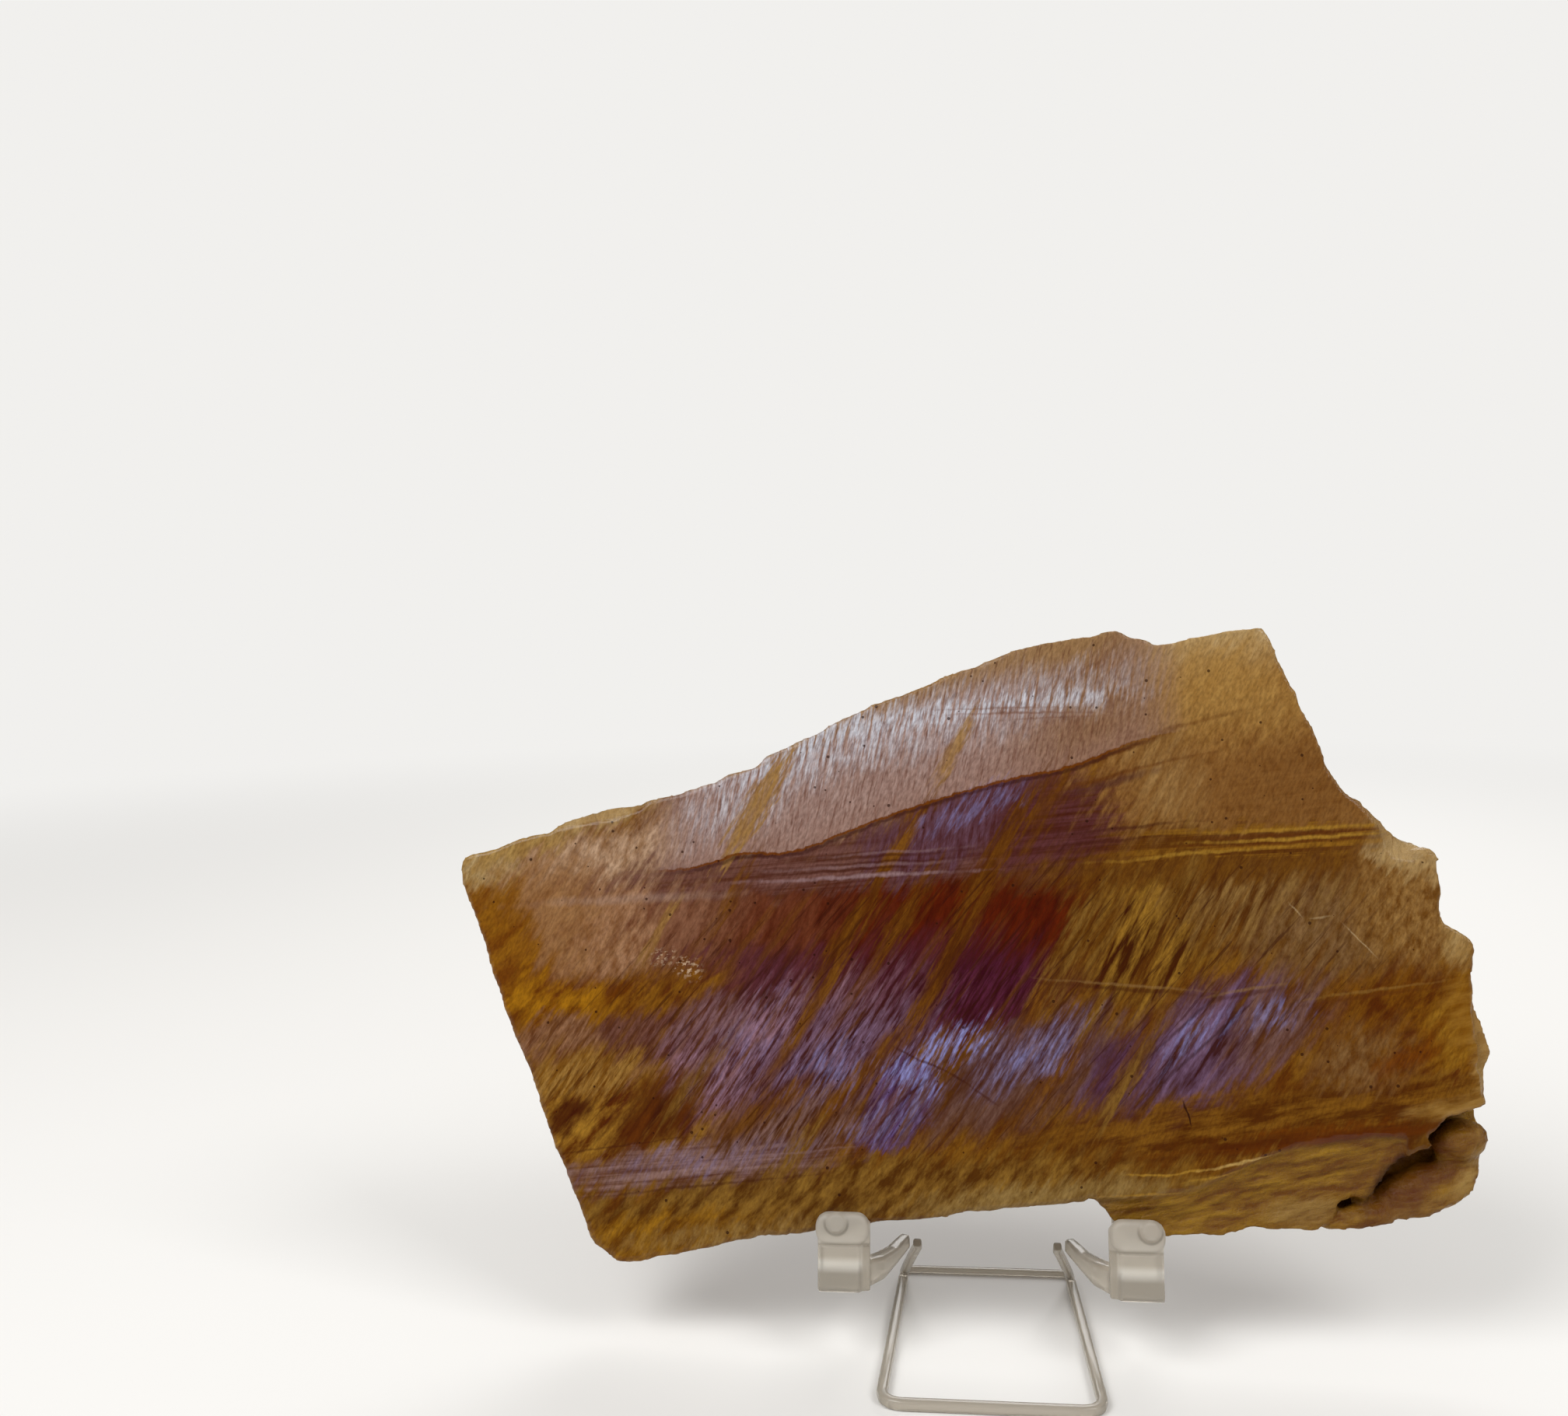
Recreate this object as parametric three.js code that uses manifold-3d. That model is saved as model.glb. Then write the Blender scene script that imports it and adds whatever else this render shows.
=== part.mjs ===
// A polished sunstone slab standing on a small clear plastic easel.
//
// Millimetres, +Z up. X runs along the slab, -Y is the polished front and Z = 0 is the table.
// The slab leans back on the easel. Its own frame has x to the right, y up the polished face
// from the level of the easel's seats, and z out of that face, so the back face is at
// z = -slabThickness.

import * as THREE from 'three';
import { mergeVertices } from 'three/addons/utils/BufferGeometryUtils.js';
import Module from 'manifold-3d';

const wasm = await Module();
wasm.setup();

// ---------------------------------------------------------------- driving dimensions

const slabThickness = 8;
const slabLean = THREE.MathUtils.degToRad(14);
const seatHeight = 18;          // the slab frame's origin above the table
const standY = -6;              // the slab frame's origin from the middle of the whole object
const easelX = 4.7;             // the easel's middle from the slab's middle
const clearance = 0.3;          // between pieces that touch

const edgeStep = 1.3;           // spacing of the points along the slab's rim
const edgeRound = 0.45;         // the polisher's softening of the front and back edges
const hollowDepth = 6;          // the deepest part of the broken corner
const hollowUndercut = 1.2;     // how far the hollow runs in under the front layer
const endBreakDepth = 0.9;      // the thin break down the right end
const endBreakUndercut = 0.3;
const chipDepth = 1.3;          // the shallow break above the lower right edge

const hookSpread = 21.1;        // from the easel's middle to each hook's middle
const hookWidth = 6;
const hookBottom = -8.7;        // in the slab's frame, as the other hook heights are
const lipTop = 2.2;
const lipThickness = 2.4;
const padWidth = 7.6;
const padDrop = 4.2;
const padThickness = 3;
const padBevel = 0.5;
const padCorner = 1.3;
const cheekWidth = 1.4;         // the hook's inner cheek, set back from the lip's front
const cheekSetBack = 0.7;
const nubRadius = 1.55;
const nubRise = 0.6;
const nubBelowTop = 1.25;       // the nub's middle below the top of the lip
const nubOutward = [0.3, 1.2];  // and outwards from the hook's middle, left and right
const seatDrop = 1.25;          // the seat's floor below the slab frame's origin

const restThickness = 2;
const restHeight = 58;
const restTopHalf = 19.5;
const restBarWidth = 4.2;
const restCorner = 9;

const armTip = [12.2, 12.4, 10.5];
const armTipHalf = 0.8;

const loopFront = -15.9;        // middle lines of the base loop, in the stand's frame
const loopBack = 23.9;
const loopFrontHalf = 14.7;
const loopBackHalf = 13;
const rodHalf = 0.75;
const backRodHalf = 0.5;

// ---------------------------------------------------------------- the slab's outline
// Each side runs clockwise as seen from the front, starting at the upper left tip.

const topEdge = [
  [-74.6, 53], [-73.4, 53.6], [-70, 54.2], [-65.7, 56], [-60.7, 57], [-60, 57.9], [-57.7, 59.1],
  [-54.6, 60.1], [-51.2, 60.8], [-46.9, 61.3], [-40.6, 62.9], [-36, 64.2], [-33.2, 65.6],
  [-29.3, 66.8], [-28.3, 67.8], [-25.6, 69.4], [-23.2, 70.3], [-19.9, 71.8], [-18, 73.1],
  [-11.8, 75.9], [-4.5, 78.5], [0.7, 80.8], [4.3, 81.8], [7.3, 83.2], [13.3, 85], [20.7, 86],
  [25, 86.9], [27.5, 85.7], [28.7, 85.6], [30.7, 84.5], [32.8, 84.8], [40.6, 86.5], [46, 87.1],
];

const rightEdge = [
  [46.6, 86.6], [48.4, 82.1], [49.6, 79], [50.9, 76.8], [51.3, 74.8], [53.1, 70.9], [53.9, 68.6],
  [54.6, 65.9], [56.5, 62.7], [57.4, 61.8], [58.9, 61.2], [61.8, 58.5], [63.4, 56.8], [65.3, 55.9],
  [67.1, 55.1], [68.6, 53.8], [69.4, 52.8], [69.1, 52], [69.4, 48.4], [69.1, 45.6], [69.3, 43.7],
  [70.6, 43.2], [71.9, 42.3], [73.2, 41.2], [73.6, 40], [73.3, 38.8], [72.8, 36.3], [73, 33],
  [73.9, 31], [74.6, 28.6], [75, 26.8], [75, 25.2], [74.3, 22.9], [74.6, 21.7], [74, 18.4],
];

const lowerRightLump = [
  [73.9, 17.7], [74.1, 16.8], [74.6, 15.3], [74.5, 13], [74, 11.8], [73.9, 10.5], [73.3, 8.6],
  [72, 6.4], [70.1, 4.7], [67, 3.3], [62.2, 2.2], [57.2, 1.2], [52.2, 0.6],
];

const bottomEdge = [
  [46.8, 0.6], [41.8, 0.6], [37.7, -0.3], [33.9, -0.4], [28.5, -0.95], [25, -0.9], [22.5, 0.9],
  [21, 2.9], [19.3, 4.6], [18.6, 4.1], [12, 3.2], [2.3, 2.2], [-3.2, 1], [-8.8, 0.6],
  [-11.5, 0.4], [-15.5, -0.9], [-19.4, -0.95], [-22.3, -1.5], [-28.2, -2], [-36, -4],
  [-42.4, -5.3], [-46, -6.1],
];

const leftSawnEdge = [
  [-47.7, -6.3], [-49.2, -6.1], [-50.5, -5.2], [-52.7, -3.6], [-53.7, -1.5], [-58.2, 8.6],
  [-60.1, 12.6], [-62.5, 19.7], [-65.4, 25.5], [-67.3, 29.8], [-70.7, 39.4], [-73.2, 45.7],
  [-74.7, 49.2], [-75, 51.4],
];

// How ragged each side is between the two polished faces.
const slabSides = [
  { points: topEdge, ragged: 0.55 },
  { points: rightEdge, ragged: 0.8 },
  { points: lowerRightLump, ragged: 0.4 },
  { points: bottomEdge, ragged: 0.55 },
  { points: leftSawnEdge, ragged: 0.12 },
];

// The front layer's broken edge at the right end, from the upper notch downwards.
const rightLayerBreak = [
  [73, 33.4], [72.7, 31.5], [72.8, 28.5], [73.1, 26], [72.9, 23.5], [73.4, 21.5], [73.2, 19],
];

// Its broken edge above the lower right corner, where the layers behind it are hollowed out.
const cornerLayerBreak = [
  [75.6, 19.5], [73.6, 18.3], [71.5, 17.4], [69.2, 16.7], [67.4, 15.6], [66.7, 14.6],
  [65.6, 14], [66.4, 13.1], [66, 12.1], [64.3, 11.8], [63, 10.8], [61.2, 9.9], [60.1, 8.2], [59.3, 6.9], [58.7, 5.5],
  [57.6, 4.9], [56, 4.9], [54.4, 4.5], [53, 2.8], [50.8, 0.2],
];

// The rounded lumps that are left standing in the hollow, and the knob on the right end.
const cornerLumps = [
  { at: [66.2, 5.6, -5], size: [9.8, 4.6, 3.7], turn: 24, seed: 1 },
  { at: [70.9, 13.2, -4.2], size: [4.3, 3.1, 3.3], turn: 12, seed: 4 },
  { at: [56.8, 2.2, -3.3], size: [5.8, 2.5, 2.3], turn: 14, seed: 7 },
];
const endKnob = { at: [67.4, 53.2, -1.5], size: [2.5, 1.3, 1.5], turn: -8, seed: 2 };

// The upper limit of the shallow break along the lower right edge.
const chipLine = [
  [19, 4.3], [21.1, 4.9], [26.2, 4.9], [29.7, 5.4], [34, 6.3], [38.3, 8.5], [43.2, 10.9],
  [46.9, 12.1], [51.2, 13], [57.5, 14.1], [62.5, 14],
];

// The inner lines of the broken bevels on the upper left edge and on the right end, each
// with the direction in which it slopes away.
const leftBevel = {
  line: [[-61.2, 56.6], [-55.8, 57.9], [-51.2, 58.5], [-46.6, 60], [-45, 61.9]],
  outward: [-0.27, 0.96],
  slope: 0.8,
};
const rightBevel = {
  line: [
    [55.8, 63], [59.4, 59], [60.8, 57], [61.3, 55], [61.9, 53.3], [62.9, 52.4], [65.6, 52.1],
    [70.5, 51.9],
  ],
  outward: [0.76, 0.65],
  slope: 0.55,
};

// ---------------------------------------------------------------- small geometry tools

// Turns a closed geometry into a solid that can be joined and cut.
function solidFrom(geometry) {
  const bare = geometry.clone();
  bare.deleteAttribute('normal');
  bare.deleteAttribute('uv');
  const merged = mergeVertices(bare, 1e-4);
  return new wasm.Manifold(new wasm.Mesh({
    numProp: 3,
    vertProperties: new Float32Array(merged.attributes.position.array),
    triVerts: new Uint32Array(merged.index.array),
  }));
}

// Turns a solid back into a geometry with flat facets.
function geometryFrom(solid) {
  const mesh = solid.getMesh();
  const geometry = new THREE.BufferGeometry();
  geometry.setAttribute('position', new THREE.BufferAttribute(mesh.vertProperties, 3));
  geometry.setIndex(new THREE.BufferAttribute(mesh.triVerts, 1));
  const faceted = geometry.toNonIndexed();
  faceted.computeVertexNormals();
  return faceted;
}

// A repeatable unevenness between 0 and 1 along a distance.
function unevenness(distance, seed) {
  const slow = Math.sin(distance * 0.43 + seed * 2.1);
  const middle = Math.sin(distance * 1.17 + seed * 4.7);
  const fast = Math.sin(distance * 2.9 + seed * 1.3);
  return 0.5 + 0.22 * slow + 0.17 * middle + 0.11 * fast;
}

// Closes rings of equal length into a solid, with a flat face on the first and last ring.
function closedStack(rings) {
  const count = rings[0].length;
  const positions = rings.flat().flatMap((point) => [point.x, point.y, point.z]);
  const faceShape = rings[0].map((point) => new THREE.Vector2(point.x, point.y));
  const backShape = rings[rings.length - 1].map((point) => new THREE.Vector2(point.x, point.y));
  const backStart = (rings.length - 1) * count;
  const index = [];
  for (const [a, b, c] of THREE.ShapeUtils.triangulateShape(faceShape, [])) {
    index.push(a, b, c);
  }
  for (const [a, b, c] of THREE.ShapeUtils.triangulateShape(backShape, [])) {
    index.push(backStart + a, backStart + c, backStart + b);
  }
  for (let ring = 0; ring < rings.length - 1; ring += 1) {
    for (let k = 0; k < count; k += 1) {
      const next = (k + 1) % count;
      const a = ring * count + k;
      const b = ring * count + next;
      index.push(a, a + count, b, b, a + count, b + count);
    }
  }
  const geometry = new THREE.BufferGeometry();
  geometry.setAttribute('position', new THREE.Float32BufferAttribute(positions, 3));
  geometry.setIndex(index);
  return geometry;
}

// A straight-sided block between two depths, over an outline given anticlockwise.
function block(outline, low, high) {
  const shape = new THREE.Shape(outline.map(([x, y]) => new THREE.Vector2(x, y)));
  const geometry = new THREE.ExtrudeGeometry(shape, { depth: high - low, bevelEnabled: false });
  geometry.translate(0, 0, low);
  return solidFrom(geometry);
}

// A bar with a chamfered rectangular section through stations of
// { at: [x, y, z], wide, tall }, where wide is the half width along the level side
// direction and tall the half height. A closed bar joins its last station to its first.
function bar(stations, closed = false) {
  const points = stations.map((station) => new THREE.Vector3(...station.at));
  const count = stations.length;
  const sectionSize = 8;
  const positions = [];
  for (let k = 0; k < count; k += 1) {
    const before = closed ? points[(k + count - 1) % count] : points[Math.max(k - 1, 0)];
    const after = closed ? points[(k + 1) % count] : points[Math.min(k + 1, count - 1)];
    const along = after.clone().sub(before).normalize();
    const side = new THREE.Vector3(along.y, -along.x, 0).normalize();
    const up = side.clone().cross(along);
    const { wide, tall } = stations[k];
    const cut = 0.35 * Math.min(wide, tall);
    const corners = [
      [wide, cut - tall], [wide, tall - cut], [wide - cut, tall], [cut - wide, tall],
      [-wide, tall - cut], [-wide, cut - tall], [cut - wide, -tall], [wide - cut, -tall],
    ];
    for (const [across, height] of corners) {
      const point = points[k].clone().addScaledVector(side, across).addScaledVector(up, height);
      positions.push(point.x, point.y, point.z);
    }
  }
  const index = [];
  const spans = closed ? count : count - 1;
  for (let k = 0; k < spans; k += 1) {
    const here = k * sectionSize;
    const there = ((k + 1) % count) * sectionSize;
    for (let j = 0; j < sectionSize; j += 1) {
      const next = (j + 1) % sectionSize;
      index.push(here + j, here + next, there + j, there + j, here + next, there + next);
    }
  }
  if (!closed) {
    const last = (count - 1) * sectionSize;
    for (let j = 1; j < sectionSize - 1; j += 1) {
      index.push(0, j + 1, j);
      index.push(last, last + j, last + j + 1);
    }
  }
  const geometry = new THREE.BufferGeometry();
  geometry.setAttribute('position', new THREE.Float32BufferAttribute(positions, 3));
  geometry.setIndex(index);
  let solid = solidFrom(geometry);
  if (solid.volume() < 0) {
    geometry.setIndex(index.slice().reverse());
    solid = solidFrom(geometry);
  }
  return solid;
}

// ---------------------------------------------------------------- the slab

// The rim's points at an even spacing, each with its inward direction and raggedness.
function rimPoints() {
  const corners = slabSides.flatMap((side) => (
    side.points.map(([x, y]) => ({ x, y, ragged: side.ragged }))
  ));
  const rim = [];
  let travelled = 0;
  corners.forEach((corner, k) => {
    const next = corners[(k + 1) % corners.length];
    const length = Math.hypot(next.x - corner.x, next.y - corner.y);
    const pieces = Math.max(1, Math.round(length / edgeStep));
    for (let piece = 0; piece < pieces; piece += 1) {
      const t = piece / pieces;
      rim.push({
        x: corner.x + (next.x - corner.x) * t,
        y: corner.y + (next.y - corner.y) * t,
        ragged: corner.ragged,
        travelled: travelled + length * t,
      });
    }
    travelled += length;
  });
  rim.forEach((point, k) => {
    const before = rim[(k + rim.length - 2) % rim.length];
    const after = rim[(k + 2) % rim.length];
    const length = Math.hypot(after.x - before.x, after.y - before.y);
    point.inX = (after.y - before.y) / length;
    point.inY = -(after.x - before.x) / length;
  });
  return rim;
}

// The whole stone before it was chipped: two polished faces and a ragged rim.
function slabBlank() {
  const rim = rimPoints();
  const levels = [
    { z: 0, inset: edgeRound, rough: 0 },
    { z: -0.15, inset: edgeRound * 0.35, rough: 0 },
    { z: -0.6, inset: 0, rough: 0.1 },
    { z: -2.2, inset: 0, rough: 1 },
    { z: -3.9, inset: 0, rough: 0.7 },
    { z: -5.6, inset: 0, rough: 1 },
    { z: -7.3, inset: 0.05, rough: 0.3 },
    { z: -slabThickness, inset: edgeRound, rough: 0 },
  ];
  const rings = levels.map((level, k) => rim.map((point) => {
    const worn = level.rough * point.ragged * unevenness(point.travelled, k);
    const inset = level.inset + worn;
    return new THREE.Vector3(point.x + point.inX * inset, point.y + point.inY * inset, level.z);
  }).reverse());
  return solidFrom(closedStack(rings));
}

// The space where the front layer has broken away, down to a rough floor. Its side slopes in
// under the front layer, which leaves a dark overhang.
function layerBreak(outside, edge, depth, undercut) {
  const outline = [...outside, ...edge];
  const face = outline.map(([x, y]) => new THREE.Vector3(x, y, 1));
  const floor = outline.map(([x, y], k) => {
    const inward = k < outside.length ? 0 : undercut * (0.5 + unevenness(k * 1.7, 3));
    return new THREE.Vector3(x - inward, y + inward * 0.6, -depth - 0.5 * unevenness(k, 5));
  });
  return solidFrom(closedStack([face, floor]));
}

// A rounded lump of broken stone.
function lump({ at, size, turn, seed }) {
  const ball = new THREE.IcosahedronGeometry(1, 3);
  const place = ball.attributes.position;
  for (let k = 0; k < place.count; k += 1) {
    const [x, y, z] = [place.getX(k), place.getY(k), place.getZ(k)];
    const swell = 0.93 + 0.14 * unevenness(4 * x + 2.6 * y, seed + z);
    place.setXYZ(k, x * swell, y * swell, z * swell);
  }
  ball.scale(...size);
  ball.rotateZ(THREE.MathUtils.degToRad(turn));
  ball.translate(...at);
  return solidFrom(ball);
}

// The shallow break along the lower right edge, stepped down towards the edge.
function edgeChip() {
  const below = [[62.5, -6], [15, -6]];
  const steps = [
    { drop: 0, depth: chipDepth * 0.4 },
    { drop: 1.7, depth: chipDepth * 0.7 },
    { drop: 3.6, depth: chipDepth },
  ];
  return steps.map((step) => {
    const line = chipLine.map(([x, y], k) => [x, y - step.drop * (0.7 + 0.6 * unevenness(k, 8))]);
    return block([...below, ...line], -step.depth, 1);
  });
}

// A wedge over a line on the front face, which breaks a sloping bevel off the rim.
function bevelWedge({ line, outward, slope }) {
  const [above, reach] = [1.5, 9];
  const rings = line.map(([x, y]) => {
    const [farX, farY] = [x + outward[0] * reach, y + outward[1] * reach];
    return [
      new THREE.Vector3(x, y, 0),
      new THREE.Vector3(x, y, above),
      new THREE.Vector3(farX, farY, above),
      new THREE.Vector3(farX, farY, -slope * reach),
    ];
  });
  const positions = rings.flat().flatMap((point) => [point.x, point.y, point.z]);
  const index = [];
  for (let k = 0; k < rings.length - 1; k += 1) {
    for (let j = 0; j < 4; j += 1) {
      const [a, b] = [k * 4 + j, k * 4 + ((j + 1) % 4)];
      index.push(a, a + 4, b, b, a + 4, b + 4);
    }
  }
  const last = (rings.length - 1) * 4;
  index.push(0, 1, 2, 0, 2, 3, last, last + 2, last + 1, last, last + 3, last + 2);
  const geometry = new THREE.BufferGeometry();
  geometry.setAttribute('position', new THREE.Float32BufferAttribute(positions, 3));
  geometry.setIndex(index);
  return solidFrom(geometry);
}

function brokenSlab() {
  const blank = slabBlank();
  const spaces = [
    layerBreak([[84, 18.3], [84, 33.4]], rightLayerBreak, endBreakDepth, endBreakUndercut),
    layerBreak([[49, -6], [84, -6], [84, 18.3]], cornerLayerBreak, hollowDepth, hollowUndercut),
    ...edgeChip(),
    bevelWedge(leftBevel),
    bevelWedge(rightBevel),
  ];
  const lumps = [...cornerLumps, endKnob].map((piece) => lump(piece).intersect(blank));
  const chipped = spaces.reduce((stone, space) => stone.subtract(space), blank);
  return lumps.reduce((stone, piece) => stone.add(piece), chipped);
}

const slab = new THREE.Mesh(
  geometryFrom(brokenSlab()),
  new THREE.MeshStandardMaterial({ color: 0x8a5a3a, roughness: 0.18, metalness: 0 }),
);
slab.name = 'slab';

// ---------------------------------------------------------------- the easel's cradle
// Two J hooks with a padded lip, whose backs rise behind the slab and join in one arch,
// and two arms that run in and back to the base.

// From the slab's frame to the stand's.
const leaning = new THREE.Matrix4()
  .makeRotationX(Math.PI / 2 - slabLean)
  .setPosition(0, 0, seatHeight);

// The J in side view, as [behind the slab's front face, height], pushed through its width.
function hook(middle) {
  const behind = slabThickness + clearance;
  const shape = new THREE.Shape();
  shape.moveTo(-lipThickness, lipTop - 0.6);
  shape.lineTo(-lipThickness, hookBottom + 0.5);
  shape.lineTo(0.5 - lipThickness, hookBottom);
  shape.lineTo(4.5, hookBottom);
  shape.quadraticCurveTo(behind + restThickness, hookBottom + 1, behind + restThickness, -2);
  shape.lineTo(behind + restThickness, 4);
  shape.lineTo(behind, 4);
  shape.lineTo(behind, 1 - seatDrop);
  shape.absarc(behind - 1, 1 - seatDrop, 1, 0, -Math.PI / 2, true);
  shape.absarc(1 - clearance, 1 - seatDrop, 1, -Math.PI / 2, -Math.PI, true);
  shape.lineTo(-clearance, lipTop - 0.6);
  const geometry = new THREE.ExtrudeGeometry(shape, {
    depth: hookWidth,
    bevelEnabled: false,
    curveSegments: 6,
  });
  geometry.rotateY(Math.PI / 2);
  geometry.translate(middle - hookWidth / 2, 0, 0);
  return solidFrom(geometry);
}

// A rectangle with round corners, centred on x, between two heights.
function roundedRectangle(middle, width, low, high, radius) {
  const [left, right] = [middle - width / 2, middle + width / 2];
  const shape = new THREE.Shape();
  shape.moveTo(left + radius, low);
  shape.lineTo(right - radius, low);
  shape.absarc(right - radius, low + radius, radius, -Math.PI / 2, 0, false);
  shape.absarc(right - radius, high - radius, radius, 0, Math.PI / 2, false);
  shape.absarc(left + radius, high - radius, radius, Math.PI / 2, Math.PI, false);
  shape.absarc(left + radius, low + radius, radius, Math.PI, Math.PI * 1.5, false);
  return shape;
}

// The thick pad at the top of the lip. It is as wide as the hook and its cheek together.
function lipPad(side) {
  const middle = side * (hookSpread + (hookWidth - padWidth) / 2 + clearance);
  const shape = roundedRectangle(
    middle,
    padWidth - 2 * padBevel,
    lipTop - padDrop + padBevel,
    lipTop - padBevel,
    padCorner,
  );
  const geometry = new THREE.ExtrudeGeometry(shape, {
    depth: padThickness - clearance - 2 * padBevel,
    bevelThickness: padBevel,
    bevelSize: padBevel,
    bevelSegments: 2,
    curveSegments: 4,
  });
  geometry.translate(0, 0, clearance + padBevel + 0.02);
  return solidFrom(geometry);
}

// The cheek on the inner side of a hook, from its foot up to the pad.
function hookCheek(side) {
  const inner = hookSpread - hookWidth / 2 - cheekWidth;
  const [low, high] = [hookBottom + 0.2, lipTop - padCorner];
  const depth = lipThickness - cheekSetBack - clearance;
  const geometry = new THREE.BoxGeometry(cheekWidth + 0.5, high - low, depth);
  geometry.translate(
    side * (inner + (cheekWidth + 0.5) / 2),
    (low + high) / 2,
    clearance + depth / 2,
  );
  return solidFrom(geometry);
}

// The round nub on the front of the pad, towards its outer side.
function lipNub(side) {
  const geometry = new THREE.CylinderGeometry(nubRadius * 0.8, nubRadius, nubRise * 2, 20);
  geometry.rotateX(Math.PI / 2);
  geometry.translate(
    side * (hookSpread + (side < 0 ? nubOutward[0] : nubOutward[1])),
    lipTop - nubBelowTop,
    padThickness,
  );
  return solidFrom(geometry);
}

// The arch behind the slab that the hooks' backs rise into.
function restArch() {
  const foot = hookSpread + hookWidth / 2 - 0.2;
  const innerFoot = hookSpread - hookWidth / 2 + 0.2;
  const outer = restTopHalf + restBarWidth / 2;
  const inner = restTopHalf - restBarWidth / 2;
  const corner = restCorner;
  const innerCorner = corner - restBarWidth;
  const shape = new THREE.Shape();
  shape.moveTo(innerFoot, -1);
  shape.lineTo(foot, -1);
  shape.lineTo(outer, restHeight - corner);
  shape.absarc(outer - corner, restHeight - corner, corner, 0, Math.PI / 2, false);
  shape.absarc(corner - outer, restHeight - corner, corner, Math.PI / 2, Math.PI, false);
  shape.lineTo(-foot, -1);
  shape.lineTo(-innerFoot, -1);
  shape.lineTo(-inner, restHeight - corner);
  shape.absarc(innerCorner - inner, restHeight - corner, innerCorner, Math.PI, Math.PI / 2, true);
  shape.absarc(inner - innerCorner, restHeight - corner, innerCorner, Math.PI / 2, 0, true);
  const bevel = 0.3;
  const geometry = new THREE.ExtrudeGeometry(shape, {
    depth: restThickness - 2 * bevel,
    bevelThickness: bevel,
    bevelSize: bevel,
    bevelOffset: -bevel,
    bevelSegments: 1,
    curveSegments: 8,
  });
  geometry.translate(0, 0, bevel - slabThickness - clearance - restThickness + 0.01);
  return solidFrom(geometry);
}

// The arm from a hook's foot, in and back to the base's post.
function arm(side) {
  return bar([
    { at: [side * 20.6, 1, 10.3], wide: 1.2, tall: 2.1 },
    { at: [side * 18, 1.9, 10.3], wide: 1.3, tall: 2.1 },
    { at: [side * 15.9, 4, 10.3], wide: 1.3, tall: 1.8 },
    { at: [side * 14.1, 8, 10.2], wide: 1.1, tall: 1.25 },
    { at: [side * armTip[0], armTip[1], armTip[2]], wide: armTipHalf, tall: 1.1 },
  ]);
}

// The extrusions are made with z forwards, so each piece is only turned to the lean.
function leaned(solid) {
  return solid.transform(leaning.elements);
}

const cradleSolid = [-1, 1]
  .flatMap((side) => [
    leaned(hook(side * hookSpread)),
    leaned(lipPad(side)),
    leaned(hookCheek(side)),
    leaned(lipNub(side)),
    arm(side),
  ])
  .reduce((whole, piece) => whole.add(piece), leaned(restArch()));

const clearPlastic = { color: 0xd8d4c8, roughness: 0.12, metalness: 0, transparent: true };

const easelCradle = new THREE.Mesh(
  geometryFrom(cradleSolid),
  new THREE.MeshStandardMaterial({ ...clearPlastic, opacity: 0.4 }),
);
easelCradle.name = 'easel_cradle';

// ---------------------------------------------------------------- the easel's base
// A thin loop that lies flat on the table, with two posts that rise from its back corners
// to the inner sides of the arms' tips.

function baseLoop() {
  const stations = [];
  const corner = (x, y, startAngle, radius, size) => {
    for (let k = 0; k <= 3; k += 1) {
      const angle = startAngle + (k * Math.PI) / 6;
      stations.push({
        at: [x + radius * Math.cos(angle), y + radius * Math.sin(angle), size],
        wide: size,
        tall: size,
      });
    }
  };
  const [frontRadius, backRadius] = [2.6, 1.4];
  corner(frontRadius - loopFrontHalf, loopFront + frontRadius, Math.PI, frontRadius, rodHalf);
  corner(loopFrontHalf - frontRadius, loopFront + frontRadius, -Math.PI / 2, frontRadius, rodHalf);
  stations.push({ at: [loopBackHalf, loopBack - 4, rodHalf], wide: rodHalf, tall: rodHalf });
  corner(loopBackHalf - backRadius, loopBack - backRadius, 0, backRadius, backRodHalf);
  corner(backRadius - loopBackHalf, loopBack - backRadius, Math.PI / 2, backRadius, backRodHalf);
  stations.push({ at: [-loopBackHalf, loopBack - 4, rodHalf], wide: rodHalf, tall: rodHalf });
  return bar(stations, true);
}

function basePost(side) {
  const size = 0.65;
  const top = armTip[0] - armTipHalf - clearance - size;
  return bar([
    { at: [side * loopBackHalf, loopBack - 2.2, 0.75], wide: size, tall: size },
    { at: [side * (loopBackHalf - 0.5), loopBack - 4.2, 2.8], wide: size, tall: size },
    { at: [side * (top + 0.7), 15.4, 7.2], wide: size, tall: size },
    { at: [side * top, 13, 9.4], wide: size, tall: size },
    { at: [side * top, 11.8, 10.5], wide: size, tall: size },
  ]);
}

const easelBase = new THREE.Mesh(
  geometryFrom(baseLoop().add(basePost(-1)).add(basePost(1))),
  new THREE.MeshStandardMaterial({ ...clearPlastic, opacity: 0.4 }),
);
easelBase.name = 'easel_base';

// ---------------------------------------------------------------- the assembly

const leaningSlab = new THREE.Group();
leaningSlab.rotation.x = Math.PI / 2 - slabLean;
leaningSlab.position.set(0, standY, seatHeight);
leaningSlab.add(slab);

const easel = new THREE.Group();
easel.position.set(easelX, standY, 0);
easel.add(easelCradle, easelBase);

const object = new THREE.Group();
object.add(leaningSlab, easel);

export default object;
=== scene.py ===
import math

import bmesh
import bpy
import numpy as np
from mathutils import Matrix, Vector, noise


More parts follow.
